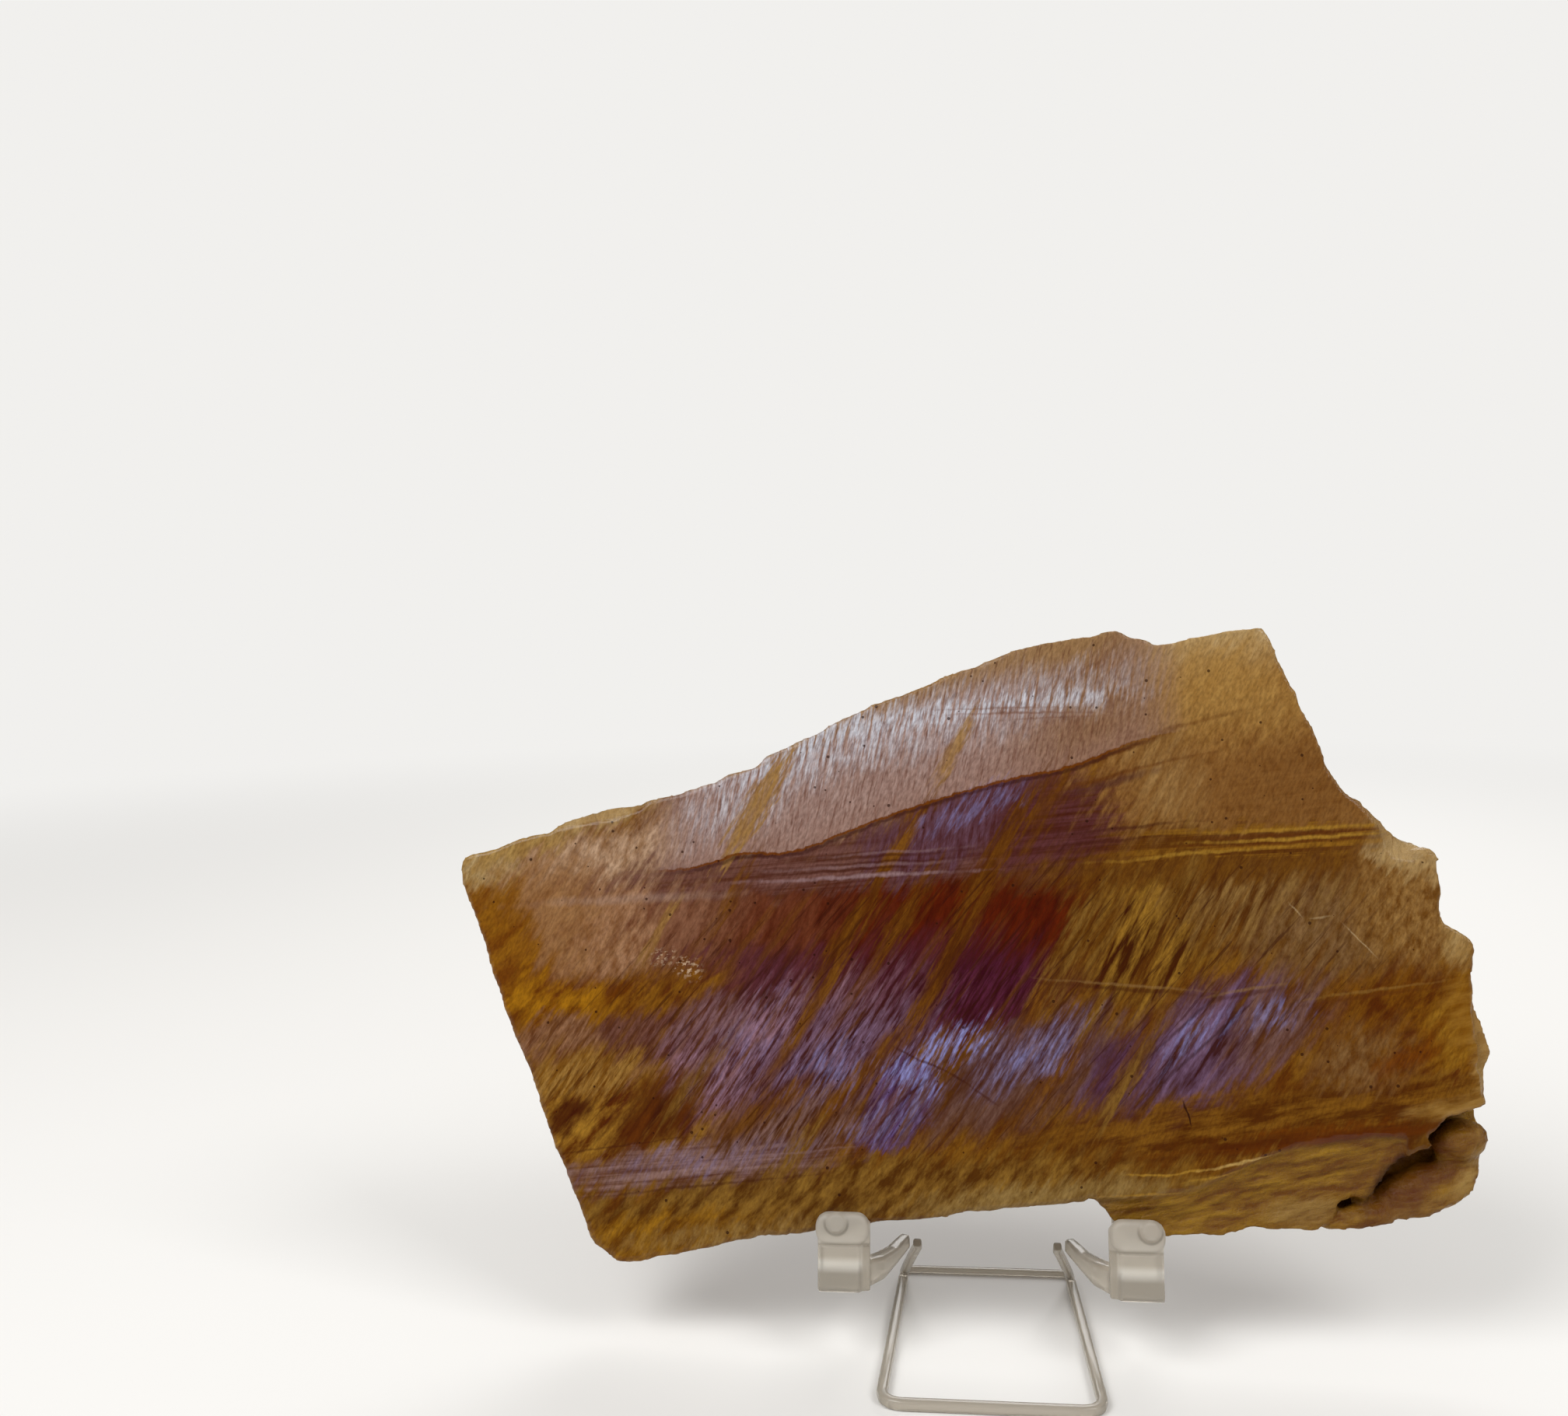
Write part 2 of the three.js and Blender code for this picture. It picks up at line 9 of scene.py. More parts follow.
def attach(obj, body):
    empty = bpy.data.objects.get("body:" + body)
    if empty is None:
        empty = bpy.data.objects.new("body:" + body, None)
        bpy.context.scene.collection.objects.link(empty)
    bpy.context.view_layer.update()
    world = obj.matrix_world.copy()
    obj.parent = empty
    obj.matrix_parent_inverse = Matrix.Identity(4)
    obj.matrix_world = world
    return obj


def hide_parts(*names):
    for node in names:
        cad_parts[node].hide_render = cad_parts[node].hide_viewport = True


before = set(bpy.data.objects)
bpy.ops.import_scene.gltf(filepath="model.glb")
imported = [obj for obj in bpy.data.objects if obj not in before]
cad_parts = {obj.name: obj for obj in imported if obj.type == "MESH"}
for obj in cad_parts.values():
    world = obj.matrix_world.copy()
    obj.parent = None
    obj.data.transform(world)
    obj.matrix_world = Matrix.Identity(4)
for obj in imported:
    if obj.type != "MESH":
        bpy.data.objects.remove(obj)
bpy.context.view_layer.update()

# ------------------------------------------------------------ the camera
# A plain camera a hand's width above the table and a little to the right of the middle,
# turned slightly to the left and down. It is level within a degree or so.

camera_place = Vector((0.00184, -0.21459, 0.112))
camera_turn = math.radians(6.73)
camera_pitch = math.radians(5.2)
camera_roll = math.radians(-1.31)

forward = Vector((
    -math.sin(camera_turn) * math.cos(camera_pitch),
    math.cos(camera_turn) * math.cos(camera_pitch),
    -math.sin(camera_pitch),
))
level_right = Vector((math.cos(camera_turn), math.sin(camera_turn), 0))
level_up = level_right.cross(forward)
camera_right = level_right * math.cos(camera_roll) + level_up * math.sin(camera_roll)
camera_up = level_up * math.cos(camera_roll) - level_right * math.sin(camera_roll)

camera = bpy.data.objects.new("camera", bpy.data.cameras.new("camera"))
camera.data.sensor_width = 36
camera.data.lens = 34.66
camera.data.clip_start = 0.01
camera.matrix_world = Matrix.Translation(camera_place) @ Matrix(
    (camera_right, camera_up, -forward)
).transposed().to_4x4()
bpy.context.scene.collection.objects.link(camera)
bpy.context.scene.camera = camera
bpy.context.scene.view_settings.view_transform = "Standard"


# ------------------------------------------------------------ the table and the room
# A pale matt table top in an evenly lit pale room, with three large soft lamps.
# Far from the stone the table melts into the room's own shade, so no horizon shows.

room_shade = (0.88, 0.87, 0.85, 1)
table_radius = 4.0
plain_from, plain_to = 0.25, 0.8


def put(tree, kind, sockets=None, **settings):
    """Adds a node to a material. Each socket gets a value, or a link from another node."""
    made = tree.nodes.new(kind)
    for name, value in settings.items():
        setattr(made, name, value)
    for socket, value in (sockets or {}).items():
        if isinstance(value, bpy.types.NodeSocket):
            tree.links.new(value, made.inputs[socket])
        else:
            made.inputs[socket].default_value = value
    return made


table_mesh = bpy.data.meshes.new("table_top")
round_top = bmesh.new()
bmesh.ops.create_circle(round_top, cap_ends=True, segments=96, radius=table_radius)
round_top.to_mesh(table_mesh)
round_top.free()
table_top = bpy.data.objects.new("table_top", table_mesh)
bpy.context.scene.collection.objects.link(table_top)

table_paint = bpy.data.materials.new("table_paint")
table_paint.use_nodes = True
tree = table_paint.node_tree
tree.nodes.clear()
place = put(tree, "ShaderNodeTexCoord").outputs["Object"]
distance = put(tree, "ShaderNodeVectorMath", {0: place}, operation="LENGTH").outputs["Value"]
far_off = put(
    tree,
    "ShaderNodeMapRange",
    {"Value": distance, "From Min": plain_from, "From Max": plain_to},
    interpolation_type="SMOOTHSTEP",
).outputs["Result"]
matt = put(
    tree,
    "ShaderNodeBsdfPrincipled",
    {"Base Color": (0.8, 0.79, 0.77, 1), "Roughness": 0.9},
)
plain = put(tree, "ShaderNodeEmission", {"Color": room_shade, "Strength": 1.0})
both = put(tree, "ShaderNodeMixShader", {0: far_off, 1: matt.outputs[0], 2: plain.outputs[0]})
put(tree, "ShaderNodeOutputMaterial", {"Surface": both.outputs[0]})
table_mesh.materials.append(table_paint)

room = bpy.data.worlds.new("room")
bpy.context.scene.world = room
room.use_nodes = True
tree = room.node_tree
tree.nodes.clear()
ray = put(tree, "ShaderNodeLightPath")
seen = put(tree, "ShaderNodeBackground", {"Color": room_shade, "Strength": 1.0})
glow = put(tree, "ShaderNodeBackground", {"Color": (1, 0.985, 0.96, 1), "Strength": 0.44})
mirrored = put(tree, "ShaderNodeBackground", {"Color": (1, 0.98, 0.95, 1), "Strength": 0.07})
unlit = put(
    tree,
    "ShaderNodeMixShader",
    {0: ray.outputs["Is Glossy Ray"], 1: glow.outputs[0], 2: mirrored.outputs[0]},
)
through_plastic = put(
    tree, "ShaderNodeMath", {0: ray.outputs["Transmission Depth"], 1: 0.5},
    operation="GREATER_THAN",
)
in_view = put(
    tree, "ShaderNodeMath",
    {0: ray.outputs["Is Camera Ray"], 1: through_plastic.outputs[0]},
    operation="MAXIMUM",
)
surround = put(
    tree,
    "ShaderNodeMixShader",
    {0: in_view.outputs[0], 1: unlit.outputs[0], 2: seen.outputs[0]},
)
put(tree, "ShaderNodeOutputWorld", {"Surface": surround.outputs[0]})

stone_middle = Vector((0, 0, 0.06))
# Each lamp's place in metres, its width in metres and its power in watts.
lamps = {
    "high_left_lamp": ((-0.45, -0.42, 0.75), 0.5, 4.7),
    "high_right_lamp": ((0.5, -0.3, 0.7), 0.4, 2.7),
    "back_lamp": ((0.1, 0.6, 0.5), 0.4, 2.0),
}
for name, (lamp_place, width, power) in lamps.items():
    lamp = bpy.data.objects.new(name, bpy.data.lights.new(name, "AREA"))
    lamp.data.size = width
    lamp.data.energy = power
    lamp.location = lamp_place
    lamp.rotation_mode = "QUATERNION"
    lamp.rotation_quaternion = (stone_middle - lamp.location).to_track_quat("-Z", "Y")
    bpy.context.scene.collection.objects.link(lamp)


# ------------------------------------------------------------ the sunstone slab
# A slab of banded feldspar, sawn at the left, broken at the other edges and polished on
# its faces. It leans back on the easel. Lengths here are in millimetres in the slab's own
# frame: x along it, y up the polished face and z out of that face, whose z is 0.

millimetre = 0.001
slab_lean = math.radians(14)
slab_foot = Vector((0, -0.006, 0.018))
slab_thickness = 8.0

to_row = (
    Matrix.Translation(slab_foot)
    @ Matrix.Rotation(math.pi / 2 - slab_lean, 4, "X")
    @ Matrix.Scale(millimetre, 4)
)


same_place = 0.001


def drop_crumbs(mesh):
    """Keeps a mesh's largest connected part, and joins the corners that share one place."""
    shell = bmesh.new()
    shell.from_mesh(mesh)
    bmesh.ops.remove_doubles(shell, verts=shell.verts, dist=same_place)
    unsorted, parts = set(shell.verts), []
    while unsorted:
        part, newest = set(), {unsorted.pop()}
        while newest:
            part |= newest
            newest = {edge.other_vert(v) for v in newest for edge in v.link_edges} - part
        unsorted -= part
        parts.append(part)
    largest = max(parts, key=len)
    crumbs = [vertex for vertex in shell.verts if vertex not in largest]
    bmesh.ops.delete(shell, geom=crumbs, context="VERTS")
    shell.to_mesh(mesh)
    shell.free()


def worked_copy(node_name, piece_name, into_frame, grain_size, smoothing):
    """Copies a node's solid into a finer mesh of even small faces, in its maker's frame."""
    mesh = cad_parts[node_name].data.copy()
    mesh.transform(into_frame)
    mesh.materials.clear()
    piece = bpy.data.objects.new(piece_name, mesh)
    bpy.context.scene.collection.objects.link(piece)
    remesh = piece.modifiers.new("even_faces", "REMESH")
    remesh.mode = "VOXEL"
    remesh.voxel_size = grain_size
    remesh.use_smooth_shade = True
    if smoothing:
        soften = piece.modifiers.new("soften", "SMOOTH")
        soften.factor = 0.5
        soften.iterations = smoothing
    bpy.context.view_layer.update()
    finer = bpy.data.meshes.new_from_object(
        piece.evaluated_get(bpy.context.evaluated_depsgraph_get())
    )
    piece.modifiers.clear()
    drop_crumbs(finer)
    piece.data = finer
    finer.name = piece_name
    bpy.data.meshes.remove(mesh)
    return piece


slab_grain = 0.52

# A broken surface starts this deep below a polished face, and is fully rough a bit deeper.
polish_reach, polish_fade = 0.12, 0.3
facing_out = 0.9
edge_share = 0.3

# The wear's mean depth, and the depth and number of changes of its coarse and fine parts.
mean_wear, coarse_wear, fine_wear = 0.2, 0.28, 0.13
coarse_changes, fine_changes = 0.35, 1.3
fine_start = Vector((7, 3, 1))


def broken_share(point):
    """0 on the two polished faces, 1 on a broken surface."""
    from_faces = min(abs(point.z), abs(point.z + slab_thickness))
    return min(1.0, max(0.0, (from_faces - polish_reach) / polish_fade))


def weathered(points, normals):
    """Roughens the broken surfaces, always inwards, and flattens the polished faces."""
    shares = np.zeros(len(points))
    for k, (point, normal) in enumerate(zip(points, normals)):
        share = broken_share(point)
        if share == 0:
            if normal.z > facing_out:
                point.z = 0.0
            elif normal.z < -facing_out:
                point.z = -slab_thickness
            else:
                share = edge_share
        if share > 0:
            coarse = noise.fractal(point * coarse_changes, 0.8, 2.1, 4)
            fine = noise.fractal(point * fine_changes + fine_start, 0.7, 2.2, 3)
            wear = mean_wear + coarse_wear * coarse + fine_wear * fine
            point -= normal * max(0.0, wear) * share
        shares[k] = share
    return shares


slab = worked_copy("slab", "slab_stone", to_row.inverted(), slab_grain, 0)
points = [vertex.co.copy() for vertex in slab.data.vertices]
normals = [vertex.normal.copy() for vertex in slab.data.vertices]
shares = weathered(points, normals)
slab.data.vertices.foreach_set("co", np.array([tuple(p) for p in points], np.float32).ravel())
broken = slab.data.attributes.new("broken", "FLOAT", "POINT")
broken.data.foreach_set("value", shares.astype(np.float32))
slab.data.transform(to_row)
slab.data.update()


returned_light = (0.84, 0.815, 0.77)


def shade(*chart_colour):
    """A colour off a chart, 0 to 255, as the share of each light that the stone sends back."""
    return tuple(
        share * ((part / 255 + 0.055) / 1.055) ** 2.4
        for part, share in zip(chart_colour, returned_light)
    ) + (1,)


def new_group(name, inputs, outputs):
    """An empty node group with these sockets, and its input and output nodes."""
    group = bpy.data.node_groups.new(name, "ShaderNodeTree")
    for label, kind, value in inputs:
        socket = group.interface.new_socket(name=label, in_out="INPUT", socket_type=kind)
        socket.default_value = value
    for label, kind in outputs:
        group.interface.new_socket(name=label, in_out="OUTPUT", socket_type=kind)
    return group, group.nodes.new("NodeGroupInput").outputs, group.nodes.new("NodeGroupOutput")


# The stone's grain: a cloudy texture drawn out in one direction, from 0 to 1.
changes_inwards = (0, 0, 0.3)
grain_group, given, result = new_group(
    "stone_grain",
    [
        ("Place", "NodeSocketVector", (0, 0, 0)),
        ("Along", "NodeSocketVector", (0.1, 0, 0)),
        ("Across", "NodeSocketVector", (0, 1, 0)),
        ("Detail", "NodeSocketFloat", 4),
        ("Low", "NodeSocketFloat", 0.35),
        ("High", "NodeSocketFloat", 0.65),
    ],
    [("Grain", "NodeSocketFloat")],
)
lengthways = put(
    grain_group, "ShaderNodeVectorMath", {0: given["Place"], 1: given["Along"]},
    operation="DOT_PRODUCT",
)
crossways = put(
    grain_group, "ShaderNodeVectorMath", {0: given["Place"], 1: given["Across"]},
    operation="DOT_PRODUCT",
)
inwards = put(
    grain_group, "ShaderNodeVectorMath", {0: given["Place"], 1: changes_inwards},
    operation="DOT_PRODUCT",
)
drawn_out = put(
    grain_group,
    "ShaderNodeCombineXYZ",
    {
        "X": lengthways.outputs["Value"],
        "Y": crossways.outputs["Value"],
        "Z": inwards.outputs["Value"],
    },
)
cloud = put(
    grain_group,
    "ShaderNodeTexNoise",
    {"Vector": drawn_out.outputs[0], "Scale": 1, "Detail": given["Detail"], "Roughness": 0.62},
)
level = put(
    grain_group,
    "ShaderNodeMapRange",
    {"Value": cloud.outputs[0], "From Min": given["Low"], "From Max": given["High"]},
)
grain_group.links.new(level.outputs["Result"], result.inputs["Grain"])


stone = bpy.data.materials.new("polished_sunstone")
stone.use_nodes = True
tree = stone.node_tree
tree.nodes.clear()


def work(operation, first, second=0.0, third=0.0):
    """One step of arithmetic in the material that is being made."""
    sockets = {0: first, 1: second, 2: third}
    return put(tree, "ShaderNodeMath", sockets, operation=operation).outputs[0]


def product(first, *others):
    """Masks multiplied together."""
    for other in others:
        first = work("MULTIPLY", first, other)
    return first


def inverse(mask):
    """1 where the mask is 0, and 0 where it is 1."""
    return work("SUBTRACT", 1.0, mask)


def between(value, low, high):
    """0 below low, 1 above high, smooth between."""
    return put(
        tree,
        "ShaderNodeMapRange",
        {"Value": value, "From Min": low, "From Max": high},
        interpolation_type="SMOOTHSTEP",
    ).outputs["Result"]


def close_to(value, middle, full_within, none_beyond):
    """1 where a value is close to the middle, 0 further off, smooth between."""
    distance = work("ABSOLUTE", work("SUBTRACT", value, middle))
    return inverse(between(distance, full_within, none_beyond))


def tinted(under, over, amount):
    """Lays one colour over another by a mask."""
    sockets = {0: amount, 6: under, 7: over}
    return put(tree, "ShaderNodeMix", sockets, data_type="RGBA").outputs[2]


endless = 1e5


def grain(turn, along, across, low=0.35, high=0.65, detail=4.0):
    """The stone's grain in one direction, with how often it changes in a millimetre."""
    way = (math.cos(math.radians(turn)), math.sin(math.radians(turn)))
    group = put(tree, "ShaderNodeGroup", node_tree=grain_group)
    tree.links.new(place, group.inputs["Place"])
    group.inputs["Along"].default_value = (way[0] * along, way[1] * along, 0)
    group.inputs["Across"].default_value = (-way[1] * across, way[0] * across, 0)
    group.inputs["Detail"].default_value = detail
    group.inputs["Low"].default_value = low
    group.inputs["High"].default_value = high
    return group.outputs["Grain"]


def patch(
    middle, reach, turn=0.0, softness=0.3, texture=None, breakup=0.5, strength=1.0, where=None
):
    """A soft oval of colour on the slab, whose edge is broken up by a texture."""
    ball = put(
        tree, "ShaderNodeTexGradient", {"Vector": where or ragged_place},
        gradient_type="SPHERICAL",
    )
    ball.texture_mapping.vector_type = "TEXTURE"
    ball.texture_mapping.translation = (*middle, 0)
    ball.texture_mapping.rotation = (0, 0, math.radians(turn))
    ball.texture_mapping.scale = (2 * reach[0], 2 * reach[1], endless)
    nearness = ball.outputs["Fac"]
    reach_of_texture = 0.0
    if texture is not None:
        nearness = work("MULTIPLY_ADD", texture, breakup / 2, nearness)
        reach_of_texture = breakup / 2
    # Far from the oval the texture is all that's left, and there it must paint nothing.
    nothing_below = reach_of_texture + 0.02
    edge = 0.5 + reach_of_texture / 2
    return put(
        tree,
        "ShaderNodeMapRange",
        {
            "Value": nearness,
            "From Min": max(edge - softness / 2, nothing_below),
            "From Max": edge + softness / 2,
            "To Max": strength,
        },
        interpolation_type="SMOOTHSTEP",
    ).outputs["Result"]


def painted(colour, mask, light, dark, weave):
    """Two tones of the stone, woven together by a texture, where the mask lets them."""
    colour = tinted(colour, shade(*dark), mask)
    return tinted(colour, shade(*light), product(mask, weave))


def leaning_place(origin):
    """A point's place in millimetres from an origin, in the frame that leans with the slab."""
    return put(
        tree,
        "ShaderNodeMapping",
        {
            "Vector": put(tree, "ShaderNodeTexCoord").outputs["Object"],
            "Location": origin,
            "Rotation": (math.pi / 2 - slab_lean, 0, 0),
            "Scale": (millimetre,) * 3,
        },
        vector_type="TEXTURE",
    ).outputs["Vector"]


# The crystals lean through the slab's thickness, so the back shows the front's pattern
# moved sideways.
crystal_lean = (-0.55, 0.3, 0)
in_slab = leaning_place(slab_foot)
depth = put(tree, "ShaderNodeSeparateXYZ", {"Vector": in_slab}).outputs["Z"]
sideways = put(
    tree, "ShaderNodeVectorMath", {0: crystal_lean, "Scale": depth}, operation="SCALE"
).outputs[0]
place = put(
    tree, "ShaderNodeVectorMath", {0: in_slab, 1: sideways}, operation="ADD"
).outputs[0]
along, height, _ = put(tree, "ShaderNodeSeparateXYZ", {"Vector": place}).outputs

# The crystals grew along a steep diagonal, in degrees from level, which drags the edges of
# all the colours. Thin lines wander by a millimetre or so, and wide patches by more.
growth = 56
growth_way = (math.cos(math.radians(growth)), math.sin(math.radians(growth)))
drag_length = 8
line_wander, patch_wander = (1.2, 1.2, 0), (8, 6, 0)
cloudy = put(
    tree, "ShaderNodeTexNoise", {"Vector": place, "Scale": 0.16, "Detail": 5, "Roughness": 0.62}
)
wander = put(
    tree, "ShaderNodeVectorMath", {0: cloudy.outputs["Color"], 1: (0.5, 0.5, 0.5)},
    operation="SUBTRACT",
).outputs[0]
near_place = put(
    tree, "ShaderNodeVectorMath", {0: wander, 1: line_wander, 2: place}, operation="MULTIPLY_ADD"
).outputs[0]
wandered = put(
    tree, "ShaderNodeVectorMath", {0: wander, 1: patch_wander, 2: place}, operation="MULTIPLY_ADD"
).outputs[0]
drag = work("SUBTRACT", grain(growth, 0.12, 1.1, 0.0, 1.0, 5), 0.5)
dragged = put(
    tree,
    "ShaderNodeCombineXYZ",
    {
        "X": work("MULTIPLY", drag, drag_length * growth_way[0]),
        "Y": work("MULTIPLY", drag, drag_length * growth_way[1]),
    },
).outputs[0]
ragged_place = put(
    tree, "ShaderNodeVectorMath", {0: wandered, 1: dragged}, operation="ADD"
).outputs[0]

# The textures that break up the stone's colours: how each is turned, how often it changes in
# a millimetre along and across, the levels that become 0 and 1, and how fine it goes.
textures = {
    "diagonal": grain(growth, 0.08, 0.6, 0.39, 0.62, 5),
    "feather": grain(growth + 2, 0.2, 1.6, 0.41, 0.60, 5),
    "steep": grain(63, 0.1, 0.85, 0.41, 0.60, 6),
    "upright": grain(80, 0.25, 1.7, 0.36, 0.64, 4),
    "level": grain(6, 0.04, 0.9, 0.40, 0.60, 5),
    "slant": grain(14, 0.12, 0.55, 0.41, 0.59, 6),
    "blotch": grain(46, 0.16, 0.5, 0.40, 0.60, 7),
    "mottle": grain(75, 0.4, 0.75, 0.38, 0.62, 8),
    "felt": grain(68, 0.22, 0.75, 0.34, 0.66, 6),
}

# Patches of colour, each laid over the ones before it.
zones = [
    # middle, reach, turn, softness, light tone, dark tone, texture, strength
    ((0, 40), (200, 200), 0, 0.3, (134, 90, 22), (98, 52, 6), "blotch", 1.0),
    ((-46, 50), (34, 8), 6, 0.4, (200, 168, 140), (154, 118, 88), "mottle", 0.95),
    ((-52, 42), (24, 7), 0, 0.5, (178, 136, 104), (136, 92, 60), "mottle", 0.95),
    ((-62, 44), (10, 8), -20, 0.6, (166, 124, 82), (136, 92, 50), "blotch", 0.8),
    ((-70, 44), (5, 10), 24, 0.5, (156, 110, 34), (126, 76, 14), "felt", 0.9),
    ((-68, 37), (6, 12), 24, 0.5, (148, 98, 20), (114, 62, 6), "blotch", 0.9),
    ((-6, 42.5), (34, 10.5), 0, 0.4, (99, 31, 2), (64, 10, 0), "felt", 1.0),
    ((-28, 43), (12, 8), 0, 0.7, (122, 68, 44), (84, 34, 14), "felt", 0.85),
    ((-38, 44), (6, 8), -10, 0.8, (152, 108, 84), (108, 64, 42), "felt", 0.75),
    ((-24, 33.8), (17, 5), -2, 0.5, (104, 54, 68), (66, 24, 28), "diagonal", 0.97),
    ((-6, 35), (15, 6), 10, 0.6, (94, 38, 46), (64, 14, 18), "diagonal", 0.9),
    ((-9, 33), (9, 4.5), 12, 0.7, (92, 40, 60), (60, 16, 30), "feather", 0.85),
    ((3, 32.5), (13, 5), 14, 0.6, (88, 34, 60), (56, 8, 24), "feather", 0.95),
    ((-30, 24), (22, 7), 20, 0.5, (160, 122, 142), (80, 40, 38), "feather", 0.92),
    ((-16, 24), (14, 6), 24, 0.4, (132, 104, 134), (66, 30, 38), "feather", 0.88),
    ((-8, 17.2), (7, 4.6), 45, 0.2, (112, 88, 148), (64, 36, 76), "feather", 1.0),
    ((-26, 12), (16, 4.5), 18, 0.5, (138, 106, 100), (76, 40, 22), "feather", 0.85),
    ((8, 21), (16, 6), 20, 0.5, (118, 86, 76), (68, 30, 14), "diagonal", 0.88),
    ((12, 25.5), (11, 3.5), 25, 0.5, (126, 104, 124), (68, 34, 34), "feather", 0.85),
    ((35, 25.5), (16, 6.5), 32, 0.5, (126, 98, 132), (58, 24, 34), "diagonal", 0.95),
    ((24, 22), (6, 3), 55, 0.6, (92, 58, 88), (68, 34, 48), "feather", 0.8),
    ((46, 30), (9, 4), 40, 0.5, (132, 100, 92), (80, 42, 22), "diagonal", 0.8),
    ((-16, 52), (30, 3.8), 5, 0.4, (120, 82, 76), (84, 44, 34), "level", 0.9),
    ((2, 58), (15, 5), 24, 0.4, (106, 74, 92), (76, 36, 42), "upright", 0.95),
    ((17, 57.5), (11, 7), 24, 0.4, (98, 54, 58), (70, 24, 20), "level", 0.9),
    ((-58, 31.5), (13, 3.6), -4, 0.5, (172, 118, 18), (110, 58, 2), "blotch", 0.92),
    ((-42, 33), (9, 3), 14, 0.6, (146, 98, 22), (96, 48, 8), "blotch", 0.85),
    ((-58, 25.5), (8, 3.6), 10, 0.35, (160, 118, 88), (106, 66, 42), "feather", 0.85),
    ((-47, 26), (4.5, 4), 30, 0.35, (120, 80, 70), (84, 44, 32), "feather", 0.85),
    ((-36, 28.5), (6, 3.5), 20, 0.5, (144, 110, 118), (88, 50, 48), "feather", 0.7),
    ((-52, 15), (14, 8), -10, 0.5, (172, 126, 42), (88, 38, 0), "blotch", 0.97),
    ((-55, 20.5), (9, 3), 10, 0.5, (172, 132, 66), (118, 74, 16), "feather", 0.8),
    ((-44, 14.5), (7, 4), 40, 0.6, (100, 50, 8), (64, 18, 2), "diagonal", 0.95),
    ((-57, 14.5), (3.5, 1.8), 30, 0.6, (80, 34, 6), (60, 16, 2), "blotch", 0.9),
    ((-38, 7.5), (20, 2.6), 6, 0.5, (150, 118, 112), (96, 60, 48), "level", 0.9),
    ((48, 67), (28, 20), -20, 0.3, (152, 110, 58), (128, 86, 38), "mottle", 0.95),
    ((50, 63), (14, 6), 0, 0.9, (138, 96, 48), (106, 64, 24), "level", 0.6),
    ((31, 70), (4.5, 15), 8, 0.8, (166, 130, 80), (134, 96, 50), "steep", 0.8),
    ((29, 43), (13, 8.5), 60, 0.45, (160, 118, 40), (66, 28, 0), "steep", 0.97),
    ((47, 46), (15, 8), -10, 0.5, (148, 114, 62), (86, 48, 8), "steep", 0.95),
    ((38, 52), (27, 3), 4, 0.5, (122, 80, 20), (84, 44, 6), "felt", 0.85),
    ((53, 42), (8, 6), 0, 0.7, (142, 110, 72), (100, 66, 28), "mottle", 0.7),
    ((66, 46), (8, 9), 0, 0.4, (162, 124, 70), (112, 72, 24), "mottle", 0.92),
    ((38, 84.5), (14, 4.5), 6, 0.7, (204, 178, 132), (182, 152, 102), "mottle", 0.95),
    ((40, 78), (13, 6), 0, 0.9, (176, 136, 74), (160, 120, 60), "mottle", 0.9),
    ((66, 27), (12, 9), 0, 0.4, (130, 82, 12), (88, 40, 2), "blotch", 0.95),
    ((57, 23.5), (6, 5), 20, 0.8, (142, 108, 66), (104, 66, 24), "mottle", 0.7),
    ((70, 28.5), (3.5, 5.5), 0, 0.8, (162, 118, 34), (124, 78, 8), "blotch", 0.8),
    ((69, 20), (5, 2.2), 10, 0.8, (152, 114, 46), (118, 76, 18), "slant", 0.7),
    ((64, 25.4), (5, 1.3), 32, 0.8, (126, 70, 4), (100, 44, 0), "feather", 0.65),
    ((63.5, 19.3), (4.5, 0.9), 4, 0.8, (98, 40, 2), (72, 20, 0), "slant", 0.75),
    ((69.4, 21.9), (0.9, 0.7), 30, 0.8, (92, 36, 2), (72, 20, 0), "slant", 0.8),
    ((45, 15.5), (34, 4), 6, 0.4, (132, 88, 22), (84, 42, 2), "slant", 0.95),
    ((50, 13.8), (24, 1.5), 8, 0.6, (114, 60, 2), (82, 34, 0), "level", 0.8),
    ((50, 7.5), (27, 4.4), 10, 0.5, (156, 120, 48), (106, 66, 8), "slant", 0.95),
    ((57, 10), (5, 1.0), 10, 0.5, (144, 110, 50), (112, 78, 26), "felt", 0.8),
    ((67, 8), (9, 7), 50, 0.5, (112, 74, 18), (70, 30, 4), "blotch", 0.9),
    ((-15, 3.5), (42, 5), 6, 0.35, (146, 108, 42), (86, 50, 8), "blotch", 0.95),
    ((12, 4.4), (17, 1.8), 6, 0.6, (158, 130, 78), (128, 98, 46), "blotch", 0.8),
    ((-44, -2.5), (14, 3), 8, 0.5, (166, 118, 26), (110, 66, 4), "blotch", 0.9),
    # A pale band along the bottom edge at the left is a painted highlight.
    ((-32, -1.2), (15, 1.3), 7, 0.8, (160, 128, 72), (120, 86, 34), "mottle", 0.7),
    ((-72, 53), (6, 4), 20, 0.5, (188, 164, 120), (168, 138, 88), "mottle", 0.95),
    ((-66, 55), (10, 2.4), 14, 0.5, (182, 150, 90), (148, 110, 52), "felt", 0.85),
    # The cream along the bevel at the upper left is partly the stone's own tone and partly a
    # painted highlight.
    ((-53, 59.5), (9, 2.0), 16, 0.5, (188, 160, 112), (154, 120, 70), "felt", 0.8),
    ((63.5, 54.5), (5, 2.6), -36, 0.5, (196, 170, 124), (160, 128, 78), "felt", 0.85),
    ((68, 53), (5, 2.6), 0, 0.5, (188, 160, 112), (158, 124, 72), "felt", 0.85),
    ((72, 41.5), (3, 4), 0, 0.5, (182, 152, 100), (148, 112, 56), "felt", 0.8),
]
colour = shade(110, 70, 20)
